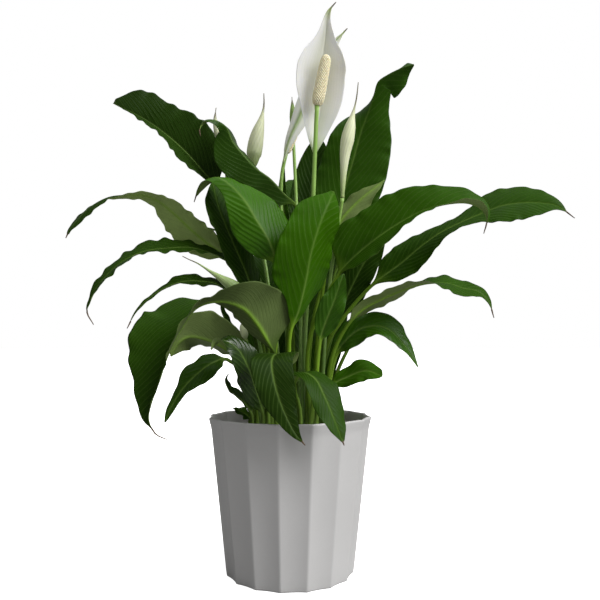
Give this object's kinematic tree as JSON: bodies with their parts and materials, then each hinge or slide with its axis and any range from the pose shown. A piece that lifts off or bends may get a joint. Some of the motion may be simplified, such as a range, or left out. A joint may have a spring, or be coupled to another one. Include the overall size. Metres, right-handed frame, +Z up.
{
  "type": "potted peace lily",
  "caption": "Peace lily in a round fluted pot: arching pointed leaves on long stalks, white hooded flowers and slim closed buds, standing in potting soil.",
  "frame": {"origin": "centre of the pot's flat underside, on the surface it stands on", "axes": "+Z up, the way the stems grow; -Y towards the front, the side the open flower faces"},
  "size_m": [0.5247, 0.321, 0.5874],
  "materials": {
    "pot": "light grey, matte",
    "soil": "loose dark potting mix",
    "leaf": "waxy, satin",
    "stem": "smooth, satin",
    "spathe": "white, soft sheen",
    "bud": "greenish white, soft sheen",
    "green_bud": "green, soft sheen",
    "spadix": "cream, knobbly"
  },
  "bodies": {
    "root": {"leaf_left_top": "leaf", "leaf_left_hooked": "leaf", "leaf_left_facing": "leaf", "leaf_left_shaded": "leaf", "leaf_left_upper": "leaf", "leaf_left_middle": "leaf", "leaf_left_narrow": "leaf", "leaf_left_hanging": "leaf", "leaf_left_behind": "leaf", "leaf_left_spear": "leaf", "leaf_left_low": "leaf", "leaf_front_glossy": "leaf", "leaf_small_curl": "leaf", "leaf_small_rim": "leaf", "leaf_centre_bright": "leaf", "leaf_centre_small": "leaf", "leaf_front_left": "leaf", "leaf_front_right": "leaf", "leaf_right_top": "leaf", "leaf_right_light": "leaf", "leaf_right_large": "leaf", "leaf_right_far": "leaf", "leaf_right_middle": "leaf", "leaf_right_lower": "leaf", "leaf_right_low": "leaf", "leaf_right_behind": "leaf", "leaf_middle_spear": "leaf", "leaf_back_centre": "leaf", "leaf_back_high": "leaf", "leaf_back_middle": "leaf", "leaf_back_near": "leaf", "leaf_back_low": "leaf", "leaf_back_right": "leaf", "leaf_back_right_low": "leaf", "leaf_back_left": "leaf", "leaf_back_left_low": "leaf", "flower_main_stem": "stem", "flower_main_spathe": "spathe", "flower_main_spadix": "spadix", "flower_rear_stem": "stem", "flower_rear_spathe": "spathe", "flower_rear_spadix": "spadix", "bud_green_stem": "stem", "bud_green_spathe": "green_bud", "bud_left_stem": "stem", "bud_left_spathe": "bud", "bud_far_left_stem": "stem", "bud_far_left_spathe": "bud", "bud_right_stem": "stem", "bud_right_spathe": "bud", "bud_low_left_stem": "stem", "bud_low_left_spathe": "bud", "bud_small_stem": "stem", "bud_small_spathe": "bud", "pot": "pot", "soil": "soil"}
  },
  "joints": []
}
